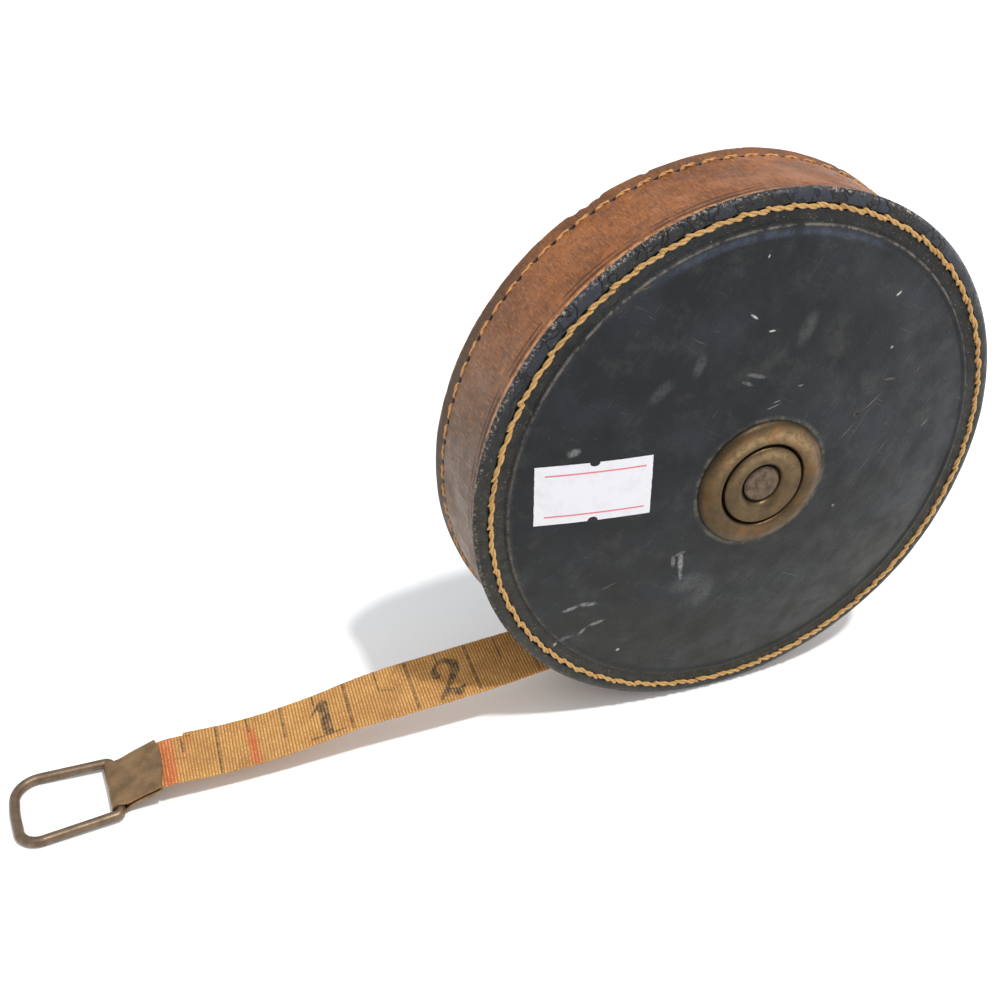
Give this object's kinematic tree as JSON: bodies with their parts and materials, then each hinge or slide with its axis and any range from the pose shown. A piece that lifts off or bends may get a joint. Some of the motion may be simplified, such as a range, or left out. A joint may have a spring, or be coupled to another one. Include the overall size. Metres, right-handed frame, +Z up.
{
  "type": "tape measure",
  "caption": "Leather-cased winding tape measure standing on its rim, with printed linen tape pulled out to a brass ring.",
  "frame": {"origin": "on the surface that it stands on, under the centre of its bounding box", "axes": "+X from the pull ring towards the case, along the pulled-out tape; +Y from the plain face to the winding face, along the reel axis; +Z up"},
  "size_m": [0.1952, 0.0368, 0.1092],
  "materials": {
    "black_leather": "worn, low sheen",
    "brown_leather": "worn, satin",
    "thread": "waxed linen thread",
    "brass": "aged, satin",
    "steel": "dull",
    "wood": "turned, bare",
    "tinplate": "dull tin",
    "linen_tape": "varnished woven linen",
    "paper": "matte"
  },
  "bodies": {
    "case": {"front_cover": "black_leather", "rim_band": "brown_leather", "back_cover": "black_leather", "front_seam_thread": "thread", "rim_seam_thread": "thread", "mouth_plate": "brass", "mouth_liner": "brass", "mouth_rivets": "brass", "front_boss_ring": "brass", "front_boss_washer": "brass", "back_boss_ring": "brass", "back_boss_washer": "brass", "price_sticker": "paper"},
    "reel": {"front_hub": "brass", "axle": "steel", "reel_core": "wood", "anchor_tack": "brass", "front_reel_flange": "tinplate", "back_reel_flange": "tinplate", "tape_coil": "linen_tape", "winding_hub": "brass", "hinge_pin": "steel"},
    "handle": {"handle_arm": "brass", "knob_stud": "steel"},
    "knob": {"winding_knob": "brass"},
    "tape_end": {"tape_lead": "linen_tape", "tape_free_end": "linen_tape", "end_clip": "brass"},
    "ring": {"pull_ring": "brass"}
  },
  "joints": [
    {"name": "reel_spin", "type": "hinge", "parent": "case", "child": "reel", "pos_m": [0.04305, -0.00016, 0.0546], "axis": [0, -1, 0], "range_deg": [0, 108.35]},
    {"name": "tape_pull", "type": "slide", "parent": "case", "child": "tape_end", "axis": [0.9943, 0, 0.1063], "range_m": [0, 0.073], "deforming": ["tape_lead"]},
    {"name": "handle_fold", "type": "hinge", "parent": "reel", "child": "handle", "pos_m": [0.05705, 0.01704, 0.0546], "axis": [0, 0, -1], "range_deg": [0, 180]},
    {"name": "knob_spin", "type": "hinge", "parent": "handle", "child": "knob", "pos_m": [0.03255, 0.01704, 0.0546], "axis": [0, 1, 0], "continuous": true},
    {"name": "ring_swing", "type": "hinge", "parent": "tape_end", "child": "ring", "pos_m": [-0.07845, -0.00016, 0.0015], "axis": [0, 1, 0], "range_deg": [-160, 80]}
  ],
  "couplings": [
    {"joint": "tape_pull", "follows": "reel_spin", "m_per_rad": 0.0386}
  ]
}
